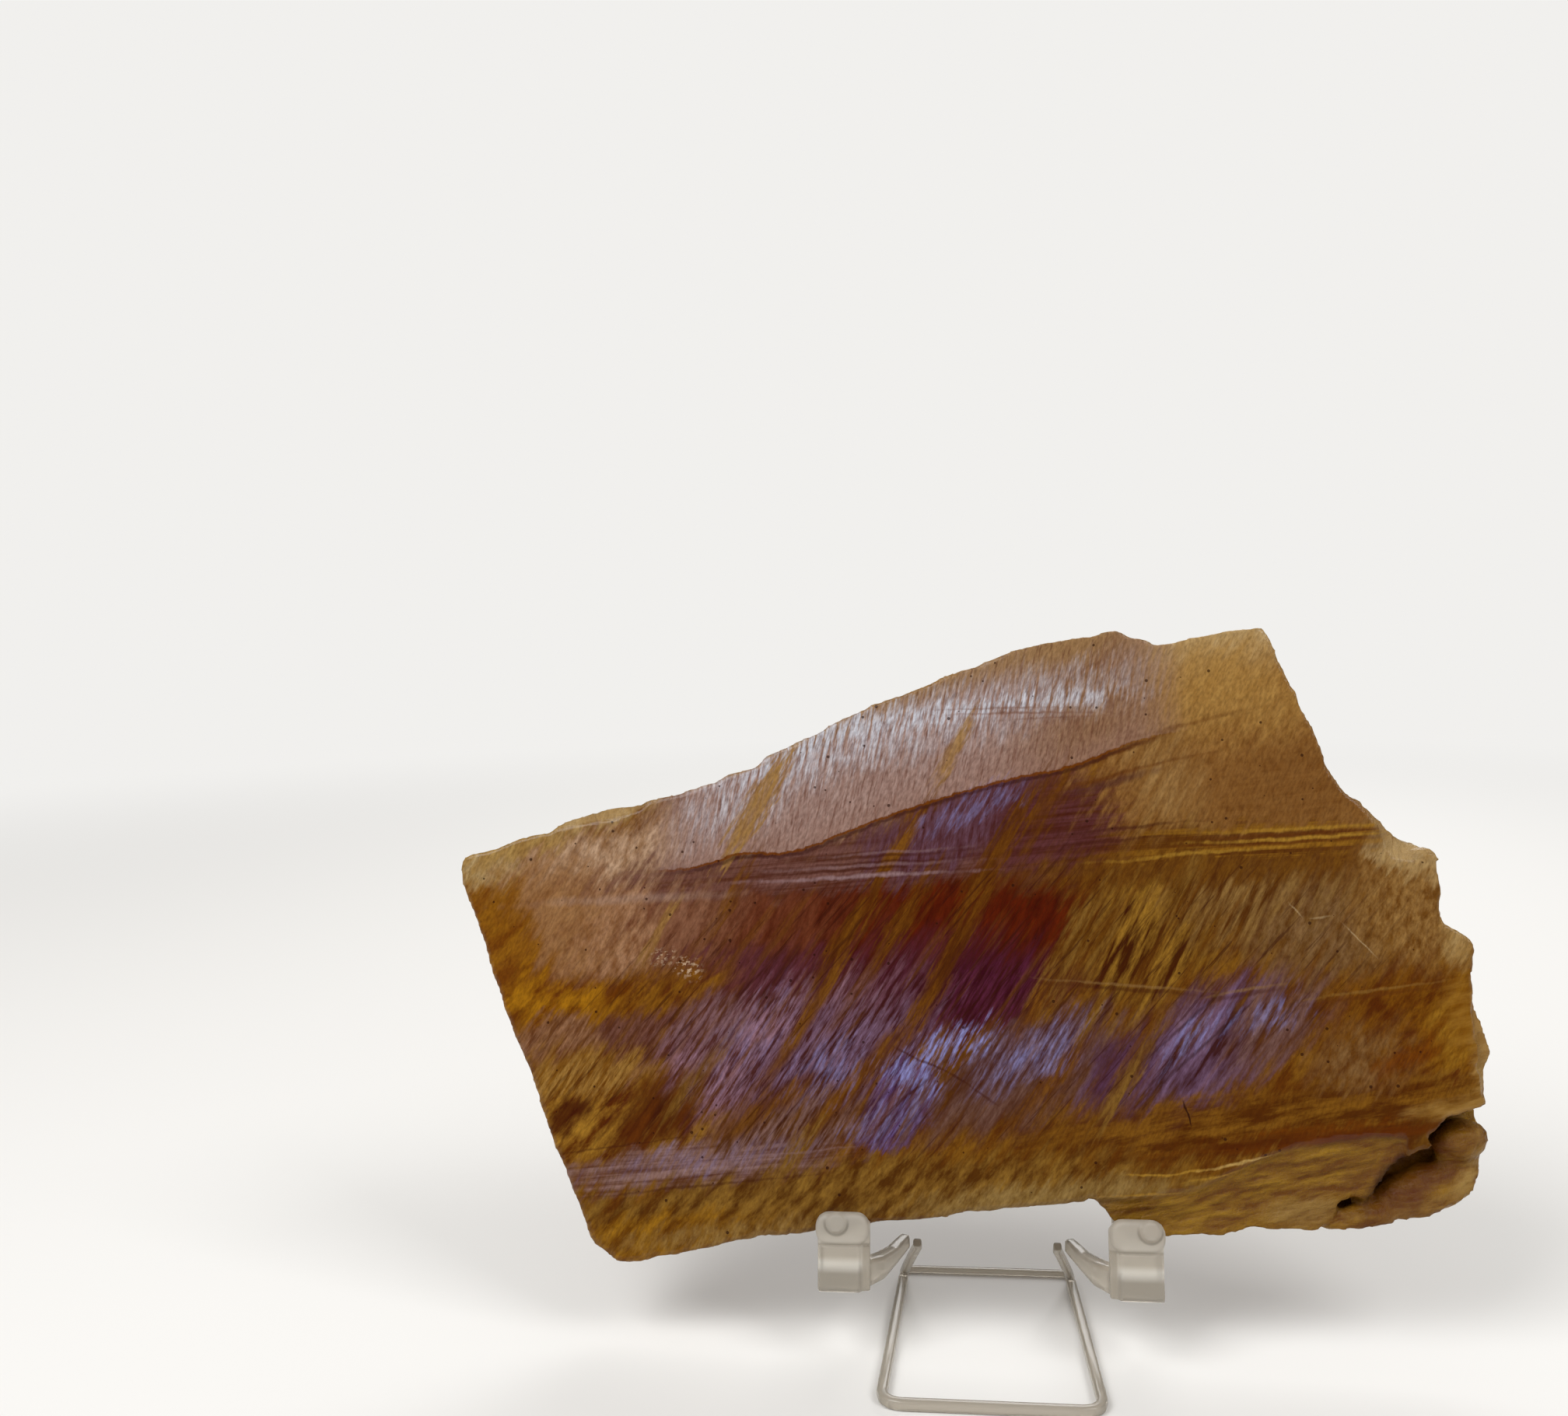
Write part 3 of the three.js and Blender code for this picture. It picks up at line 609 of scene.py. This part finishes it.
for middle, reach, turn, softness, light, dark, texture, strength in zones:
    mask = patch(middle, reach, turn, softness, textures["diagonal"], 0.4, strength)
    colour = painted(colour, mask, light, dark, textures[texture])

# The pale upper crystal, above a parting line that climbs across the slab and fades out at
# both ends. The line's points are its places along the slab and its heights there.
fade_in, fade_out = (-47, -36), (19, 36)
parting = put(tree, "ShaderNodeFloatCurve")
parting_points = [
    (-45, 50.9), (-39.4, 51.3), (-34.3, 52.6), (-31.3, 53.5), (-24.3, 53.7), (-15.3, 56.8),
    (-7.7, 59.6), (2.4, 62.8), (9, 64.5), (17.9, 66.4), (28.1, 70.2), (35, 71.5),
]
curve_left, curve_right = -45.0, 35.0
curve_low, curve_high = 45.0, 75.0
curve = parting.mapping.curves[0]
for k, (x, y) in enumerate(parting_points):
    spot = (
        (x - curve_left) / (curve_right - curve_left),
        (y - curve_low) / (curve_high - curve_low),
    )
    if k == 0:
        curve.points[0].location = spot
    elif k == len(parting_points) - 1:
        curve.points[-1].location = spot
    else:
        curve.points.new(*spot)
parting.mapping.update()
tree.links.new(
    put(
        tree,
        "ShaderNodeMapRange",
        {"Value": along, "From Min": curve_left, "From Max": curve_right},
    ).outputs["Result"],
    parting.inputs["Value"],
)
parting_height = work("MULTIPLY_ADD", parting.outputs[0], curve_high - curve_low, curve_low)
ripple_height = 1.1
ripple = work("MULTIPLY", work("SUBTRACT", grain(0, 0.8, 0.8, 0, 1), 0.5), ripple_height)
above = work("ADD", work("SUBTRACT", height, parting_height), ripple)
line_ends = product(between(along, *fade_in), inverse(between(along, *fade_out)))
upper = product(between(above, -0.15, 0.15), line_ends)
colour = painted(colour, upper, (176, 149, 142), (146, 115, 107), textures["upright"])
warm_end = product(upper, between(along, 2, 26))
colour = painted(colour, warm_end, (156, 121, 90), (130, 93, 66), textures["upright"])
top_edge = product(upper, between(above, 12.5, 18), 0.8)
colour = tinted(colour, shade(158, 124, 82), top_edge)
low_edge = product(upper, inverse(between(above, 0.5, 4.5)), 0.5)
colour = tinted(colour, shade(152, 118, 106), low_edge)

# Short lamellae stand nearly upright in the pale crystal; their silvery sheen is painted into the
# colour, brightest on a ridge.
lamellae = grain(79, 0.22, 1.8, 0.40, 0.60, 3)
gaps = grain(77, 0.3, 2.4, 0.54, 0.64, 2)
silver_sheens = [
    # middle, reach, turn, softness, strength
    ((-3, 73), (36, 4.0), 12, 0.7, 0.5),
    ((-22, 68), (15, 4.5), 25, 0.7, 0.5),
    ((-19, 70.3), (12, 1.3), 24, 0.7, 0.95),
    ((-1, 74.4), (13, 1.4), 8, 0.7, 1.0),
    ((17, 76.5), (12, 1.2), 6, 0.8, 0.6),
    ((-34, 59), (8, 3), 20, 0.7, 0.4),
]
for middle, reach, turn, softness, strength in silver_sheens:
    mask = patch(middle, reach, turn, softness, textures["upright"], 0.5, strength)
    # Painted silvery sheen on the lamellae.
    colour = tinted(colour, shade(214, 218, 234), product(mask, upper, lamellae))
colour = tinted(colour, shade(104, 62, 46), product(upper, gaps, 0.5))

# Golden veins along the growth direction: soft bands, streaky along their length. Each
# finish is a light tone and a dark tone.
vein_gold = ((128, 82, 22), (92, 48, 6))
vein_brown = ((116, 70, 12), (84, 42, 4))
vein_pale = ((170, 132, 76), (146, 106, 54))
vein_olive = ((136, 100, 42), (104, 66, 14))
veins = [
    # middle, reach, turn, softness, finish, strength
    ((-29, 60.5), (9, 1.7), 59, 0.5, vein_pale, 0.85),
    ((0.5, 68.5), (6, 1), 62, 0.6, vein_pale, 0.7),
    ((-7.5, 54.5), (8, 1.0), 57, 0.6, vein_gold, 0.9),
    ((7, 54), (10, 1.5), 60, 0.6, vein_brown, 0.9),
    ((14, 60), (6, 1.6), 60, 0.6, vein_brown, 0.6),
    ((-15, 42), (9, 1.4), 58, 0.6, vein_brown, 0.9),
    ((-21.5, 29), (11, 0.9), 58, 0.6, vein_gold, 0.9),
    ((-7, 44), (8, 1.3), 58, 0.6, vein_brown, 0.9),
    ((-0.5, 38), (12, 1.4), 62, 0.6, vein_brown, 0.95),
    ((-14.4, 20), (12, 1.3), 47, 0.5, vein_gold, 0.95),
    ((-23.5, 9.5), (6, 1.3), 52, 0.5, vein_olive, 0.85),
    ((17.5, 40), (9, 2.0), 60, 0.6, vein_olive, 0.85),
    ((22.5, 42), (7, 1.0), 62, 0.6, vein_olive, 0.85),
    ((11.5, 31), (5, 0.8), 58, 0.6, vein_gold, 0.8),
    ((24.5, 21), (8, 1.1), 58, 0.5, vein_olive, 0.85),
    ((20, 29.5), (5, 0.8), 60, 0.6, vein_olive, 0.8),
    ((-32, 48), (6, 1.1), 62, 0.6, vein_gold, 0.6),
    ((-43.5, 42), (5.5, 0.7), 60, 0.7, vein_pale, 0.8),
    ((15, 22), (9, 1.0), 48, 0.6, vein_gold, 0.7),
    ((33, 48), (6, 1.2), 60, 0.6, vein_olive, 0.7),
    ((-38, 20), (8, 1.2), 52, 0.6, vein_olive, 0.7),
    ((-24, 18.5), (5, 1.4), 30, 0.7, vein_gold, 0.8),
    ((-30, 14.5), (5, 1.2), 35, 0.7, vein_gold, 0.6),
]
for middle, reach, turn, softness, (light, dark), strength in veins:
    mask = patch(
        middle, reach, turn, softness, textures["feather"], 0.8, strength, near_place
    )
    colour = painted(colour, mask, light, dark, textures["steep"])

# Many more thin veins, dark seams and a fine hatch over the middle of the slab.
centre_area = patch((0, 32), (62, 22), 8, 0.3)
thin_veins = grain(growth - 2, 0.03, 0.45, 0.54, 0.62, 4)
colour = tinted(colour, shade(112, 68, 14), product(thin_veins, centre_area, 0.45))
seams = grain(growth - 8, 0.07, 1.5, 0.585, 0.65, 3)
colour = tinted(colour, shade(54, 16, 8), product(seams, centre_area, 0.6))
hatch = grain(growth + 3, 0.08, 2.2, 0.56, 0.63, 3)
colour = tinted(colour, shade(48, 16, 10), product(hatch, centre_area, 0.25))

# The blue schiller, a sheen painted into the colour, broken into short slanted feathers.
feathers = grain(60, 0.22, 1.5, 0.44, 0.62, 4)
glows = [
    # middle, reach, turn, softness, strength
    ((0.5, 25.8), (5.5, 2.3), 20, 0.5, 1.0),
    ((-6, 22), (3.2, 2.8), 10, 0.5, 0.9),
    ((-18, 22), (5, 3.5), 30, 0.8, 0.45),
    ((12, 25), (8, 2.4), 30, 0.8, 0.5),
    ((-30, 26), (9, 3.5), 45, 0.8, 0.2),
    ((36, 28.5), (5, 1.8), 36, 0.7, 0.3),
    ((45, 31), (5, 2), 30, 0.8, 0.45),
    ((33, 26), (5, 1.6), 40, 0.8, 0.5),
    ((3, 60), (7, 1.8), 24, 0.8, 0.45),
    ((-9, 15.5), (7, 2.6), 30, 0.8, 0.4),
    ((-34, 9), (16, 2), 10, 0.8, 0.2),
]
for middle, reach, turn, softness, strength in glows:
    mask = patch(middle, reach, turn, softness, textures["feather"], 0.7, strength)
    # Painted blue sheen.
    colour = tinted(colour, shade(146, 150, 216), product(mask, feathers))

# Level bands of gold and brown at the right.
bands = patch((45, 55.5), (20, 2.2), 3, 0.4)
stripes = grain(3, 0.015, 1.3, 0.45, 0.57, 3)
colour = painted(colour, product(bands, 0.7), (156, 110, 30), (88, 46, 6), stripes)

# Thin lines: bright and dark layers, the edges of old breaks, and cracks. The bright lines along
# the chipped edges at the lower right are painted highlights.
lilac = (158, 130, 136)
brown, dark_brown, near_black = (96, 50, 12), (64, 24, 10), (40, 14, 8)
bright_gold, rim_gold, cream = (176, 134, 48), (150, 108, 46), (206, 182, 140)
lines = [
    # middle, reach, turn, softness, colour, strength
    ((-14, 50.0), (15, 0.3), 3, 0.9, lilac, 0.75),
    ((-16, 50.9), (12, 0.22), 3, 0.8, dark_brown, 0.7),
    ((-12, 52.0), (12, 0.2), 3, 0.8, dark_brown, 0.6),
    ((-14, 51.5), (13, 0.25), 3, 0.9, lilac, 0.35),
    ((-9, 53.0), (11, 0.2), 4, 0.8, dark_brown, 0.55),
    ((-9, 53.5), (9, 0.22), 4, 0.9, lilac, 0.3),
    ((-48, 46.6), (14, 0.7), 3, 0.95, (176, 148, 134), 0.4),
    ((25, 57), (10, 0.25), 6, 0.8, dark_brown, 0.6),
    ((23, 55.2), (10, 0.25), 5, 0.8, dark_brown, 0.5),
    ((50.5, 57.0), (11, 0.28), 3, 0.8, bright_gold, 0.6),
    ((51, 56.3), (12, 0.25), 3, 0.8, brown, 0.7),
    ((50, 55.6), (13, 0.28), 3, 0.8, bright_gold, 0.8),
    ((47, 54.9), (14, 0.25), 3, 0.8, brown, 0.7),
    ((36, 53.4), (12, 0.28), 5, 0.8, bright_gold, 0.6),
    ((25.5, 68.7), (6, 0.4), 22, 0.8, brown, 0.8),
    ((24, 64.8), (7, 0.35), 15, 0.8, brown, 0.7),
    ((24, 63.9), (6, 0.6), 15, 0.8, (70, 34, 40), 0.6),
    ((37, 72.9), (9, 0.3), 13, 0.9, brown, 0.45),
    ((34, 67.3), (5, 0.25), 12, 0.9, brown, 0.4),
    ((-31, 66), (3, 0.4), 18, 0.9, rim_gold, 0.8),
    ((-24, 70), (5, 0.4), 27, 0.9, rim_gold, 0.8),
    ((-14.5, 74.4), (5.5, 0.4), 25, 0.9, rim_gold, 0.8),
    ((-4, 78.4), (6.5, 0.4), 21, 0.9, rim_gold, 0.7),
    ((11, 74.2), (10, 0.2), 0, 0.8, (128, 92, 78), 0.7),
    ((8, 75.0), (9, 0.16), 0, 0.8, (128, 92, 78), 0.5),
    ((15, 73.4), (7, 0.16), 2, 0.8, (128, 92, 78), 0.5),
    ((25, 34.5), (10, 0.2), -4, 0.8, (146, 112, 66), 0.5),
    ((25, 33.9), (10, 0.3), -4, 0.8, dark_brown, 0.5),
    ((42, 34.0), (5, 0.2), 10, 0.8, (146, 112, 66), 0.5),
    ((42, 33.4), (5, 0.3), 10, 0.8, dark_brown, 0.5),
    ((60, 34.2), (9, 0.2), 8, 0.8, (150, 112, 52), 0.5),
    ((60, 33.5), (9, 0.3), 8, 0.8, brown, 0.6),
    ((49, 45.3), (1.2, 0.12), -50, 0.8, cream, 0.35),
    ((52.3, 44.3), (1.3, 0.12), 8, 0.8, cream, 0.3),
    ((57.8, 40.9), (3.0, 0.1), -47, 0.8, cream, 0.4),
    ((-6.7, 24.5), (2.0, 0.2), -26, 0.8, dark_brown, 0.7),
    ((-3, 22.8), (2.3, 0.2), -22, 0.8, dark_brown, 0.7),
    ((0.5, 21.1), (1.9, 0.2), -31, 0.8, dark_brown, 0.7),
    ((4, 18.9), (2.5, 0.18), -34, 0.8, dark_brown, 0.6),
    ((-9.5, 15.5), (5, 0.15), 45, 0.8, dark_brown, 0.7),
    ((-6, 19), (5, 0.22), 40, 0.8, dark_brown, 0.7),
    ((36, 26.5), (9, 0.26), 42, 0.8, near_black, 0.6),
    ((33, 29), (7, 0.22), 42, 0.8, near_black, 0.55),
    ((47, 31), (3, 0.2), 50, 0.8, near_black, 0.5),
    ((33, 16.5), (1.6, 0.12), -70, 0.5, near_black, 0.9),
    # Bright lines along the edges of the shallow chips: painted highlights.
    ((27.5, 8.1), (3, 0.16), 2, 0.7, bright_gold, 0.8),
    ((33, 8.6), (3.4, 0.16), 10, 0.7, bright_gold, 0.8),
    ((40, 10.1), (4.2, 0.2), 13, 0.7, (198, 164, 96), 0.85),
    ((38, 8.4), (5, 0.16), 12, 0.7, bright_gold, 0.7),
    ((27, 5.3), (7, 0.16), 4, 0.7, bright_gold, 0.6),
    ((-50, 10.3), (12, 0.16), 8, 0.8, dark_brown, 0.5),
    ((-30, 9.2), (16, 0.16), 7, 0.9, lilac, 0.3),
    ((-36, 5.2), (18, 0.18), 7, 0.8, dark_brown, 0.5),
]
for middle, reach, turn, softness, tone, strength in lines:
    mask = patch(
        middle, reach, turn, softness, textures["felt"], 0.7, strength, near_place
    )
    colour = tinted(colour, shade(*tone), mask)

# The brown parting line itself, with the shadow of the lower crystal under it.
shadow_line = product(close_to(above, -0.6, 0.1, 0.5), line_ends, 0.65)
colour = tinted(colour, shade(56, 22, 22), shadow_line)
parting_line = product(close_to(above, -0.15, 0.08, 0.3), line_ends, 0.9)
colour = tinted(colour, shade(112, 58, 8), parting_line)

# A bruise on the front face: white specks in a small broken patch.
on_front = between(depth, -1.5, -0.5)
specks = grain(20, 1.2, 1.6, 0.52, 0.60, 3)
bruise = work(
    "MAXIMUM",
    patch((-43, 38), (1.6, 1.1), 20, 0.6, textures["felt"], 0.6, 1.0, near_place),
    patch((-39.3, 36.4), (2.2, 1.3), -20, 0.6, textures["felt"], 0.6, 1.0, near_place),
)
colour = tinted(colour, shade(196, 168, 140), product(bruise, specks, on_front))

# Fine grit over everything.
grit = grain(64, 1.0, 2.6, 0.34, 0.6, 4)
colour = tinted(colour, shade(60, 24, 2), product(inverse(grit), 0.4))

# Small dark pits.
pits = put(
    tree, "ShaderNodeTexVoronoi", {"Vector": place, "Scale": 0.55}, feature="F1"
)
pit_size = put(tree, "ShaderNodeSeparateColor", {0: pits.outputs["Color"]}).outputs[0]
pit_edge = product(between(pit_size, 0.4, 1.0), 0.13)
pit = work("LESS_THAN", pits.outputs["Distance"], pit_edge)
colour = tinted(colour, shade(46, 18, 6), product(pit, 0.8))

# Broken surfaces: pale where the edge is thin and lets light through, golden brown in the
# broken lower right, with olive rims. Towards the hollow a darker brown is partly the stone's
# own colour and partly painted shade, and near-black painted shade fills the hollow's depth
# and the space under its overhanging edge.
raw = put(tree, "ShaderNodeAttribute", attribute_name="broken").outputs["Fac"]
low_right = patch((54, 4), (34, 15), 8, 0.2, where=near_place)
low_raw = product(raw, low_right)
high_raw = product(work("SUBTRACT", raw, low_raw), 0.35)
colour = tinted(colour, shade(190, 158, 104), high_raw)
layered = grain(14, 0.16, 0.7, 0.38, 0.64, 6)
colour = painted(colour, product(low_raw, 0.92), (158, 118, 26), (104, 60, 0), layered)
rims = [
    # middle, reach, turn, softness, light tone, dark tone, strength
    ((74, 13.5), (1.3, 4), 2, 0.7, (160, 124, 60), (120, 80, 24), 0.8),
    ((72, 6.2), (4.4, 1.6), 56, 0.7, (172, 140, 76), (136, 98, 36), 0.85),
    ((65, 2.9), (6, 1.3), 18, 0.7, (168, 132, 66), (128, 88, 30), 0.8),
    ((74, 26.5), (1.7, 6.5), 0, 0.7, (186, 152, 92), (150, 112, 50), 0.85),
    ((71.6, 31), (2.4, 4.5), 10, 0.8, (164, 122, 48), (130, 84, 16), 0.6),
    ((69.5, 18.3), (5.5, 1.0), 12, 0.8, (168, 132, 72), (132, 94, 36), 0.75),
    ((54, 13.8), (12, 0.8), 7, 0.8, (104, 50, 0), (76, 26, 0), 0.7),
    ((50, 3), (5, 1.8), 4, 0.6, (160, 126, 64), (120, 84, 30), 0.8),
]
for middle, reach, turn, softness, light, dark, strength in rims:
    mask = patch(middle, reach, turn, softness, layered, 0.4, strength, near_place)
    colour = painted(colour, mask, light, dark, layered)
# Darker brown towards the hollow: partly the stone's own colour, partly painted shade.
hollow_brown_and_shade = patch((64.5, 9.2), (9.5, 4.6), 44, 0.7, textures["felt"], 0.4, 1.0, near_place)
colour = tinted(colour, shade(88, 38, 0), product(low_raw, hollow_brown_and_shade, 0.8))
# Painted near-black shade deep in the hollow and under the overhanging edge.
darkest_hollow_shade = patch((62.8, 9.2), (6, 1.3), 46, 0.7, textures["felt"], 0.3, 0.9, near_place)
shade_under_edge = patch((69.4, 16.0), (3, 1.3), 14, 0.4, textures["felt"], 0.2, 1.0, near_place)
painted_hollow_shade = product(work("MAXIMUM", darkest_hollow_shade, shade_under_edge), low_raw, 0.95)
colour = tinted(colour, shade(14, 6, 1), painted_hollow_shade)

polished_roughness, rougher_break = 0.16, 0.2
rough_break = put(
    tree,
    "ShaderNodeBump",
    {
        "Height": product(work("ADD", layered, textures["felt"]), raw),
        "Strength": 0.6,
        "Distance": 0.3 * millimetre,
    },
).outputs["Normal"]
surface = put(
    tree,
    "ShaderNodeBsdfPrincipled",
    {
        "Base Color": colour,
        "Roughness": work("MULTIPLY_ADD", raw, rougher_break, polished_roughness),
        "IOR": 1.54,
        "Specular IOR Level": 0.18,
        "Normal": rough_break,
    },
)
put(tree, "ShaderNodeOutputMaterial", {"Surface": surface.outputs[0]})
slab.data.materials.append(stone)
for face in slab.data.polygons:
    face.use_smooth = True
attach(slab, "root")
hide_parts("slab")


# ------------------------------------------------------------ the clear easel
# Two thin mouldings in clear plastic: the cradle, with its two padded hooks, its arms and
# the arch behind the stone, and the base loop with its posts, which the arms are fixed to.

to_millimetres = Matrix.Scale(1 / millimetre, 4)
to_metres = Matrix.Scale(millimetre, 4)
cradle_grain, cradle_smoothing = 0.25, 5
base_grain, base_smoothing = 0.2, 4
cradle = worked_copy(
    "easel_cradle", "cradle_moulding", to_millimetres, cradle_grain, cradle_smoothing
)
base = worked_copy("easel_base", "base_moulding", to_millimetres, base_grain, base_smoothing)
for piece in (cradle, base):
    piece.data.transform(to_metres)

plastic = bpy.data.materials.new("clear_plastic")
plastic.use_nodes = True
tree = plastic.node_tree
tree.nodes.clear()

# Places on the hooks, in millimetres from the easel's middle and the slab's foot: across, up
# the slab and out of its front.
easel_middle = 4.7
left_nub, right_nub = -21.4, 22.3
nub_height, nub_edge = 0.95, 1.65
pad_foot, pad_top, seat_height = -2.1, 4.0, -4.9
rod_colour, pad_colour = (0.56, 0.51, 0.43, 1), (0.66, 0.61, 0.53, 1)
gleam_colour, painted_shade_colour = (0.86, 0.83, 0.76, 1), (0.2, 0.17, 0.12, 1)
rod_roughness, rougher_pads = 0.2, 0.3
place = leaning_place(slab_foot + Vector((easel_middle * millimetre, 0, 0)))
from_middle, height, depth = put(tree, "ShaderNodeSeparateXYZ", {"Vector": place}).outputs
past_front = between(depth, 0.1, 0.4)
on_pads = product(
    between(height, -2.4, -1.9), past_front, work("LESS_THAN", height, pad_top)
)

# Painted shade in the groove at the foot of each round nub, mostly on its lower half, and along
# the step below a pad.
on_right = between(from_middle, -1, 1)
nub_across = work("MULTIPLY_ADD", on_right, right_nub - left_nub, left_nub)
off_across = work("POWER", work("SUBTRACT", from_middle, nub_across), 2.0)
off_height = work("POWER", work("SUBTRACT", height, nub_height), 2.0)
off_nub = work("SQRT", work("ADD", off_across, off_height))
lower_half = work("MULTIPLY_ADD", between(height, 0.4, 1.8), -0.85, 1.0)
nub_groove_shade = product(close_to(off_nub, nub_edge, 0.05, 0.3), on_pads, lower_half, 0.5)
pad_step_shade = product(close_to(height, pad_foot, 0.05, 0.3), past_front, 0.45)
seat_gleam = product(close_to(height, seat_height, 0.2, 1.3), between(depth, 1.5, 2.2), 0.75)
clear = tinted(rod_colour, pad_colour, on_pads)
clear = tinted(clear, gleam_colour, seat_gleam)
# Painted shade in the nub grooves and along the pad steps.
clear = tinted(clear, painted_shade_colour, work("MAXIMUM", nub_groove_shade, pad_step_shade))
surface = put(
    tree,
    "ShaderNodeBsdfPrincipled",
    {
        "Base Color": clear,
        "Roughness": work("MULTIPLY_ADD", on_pads, rougher_pads, rod_roughness),
        "IOR": 1.49,
        "Transmission Weight": 0.55,
    },
)
put(tree, "ShaderNodeOutputMaterial", {"Surface": surface.outputs[0]})
for piece, node in ((cradle, "easel_cradle"), (base, "easel_base")):
    piece.data.materials.append(plastic)
    for face in piece.data.polygons:
        face.use_smooth = True
    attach(piece, "root")
    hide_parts(node)
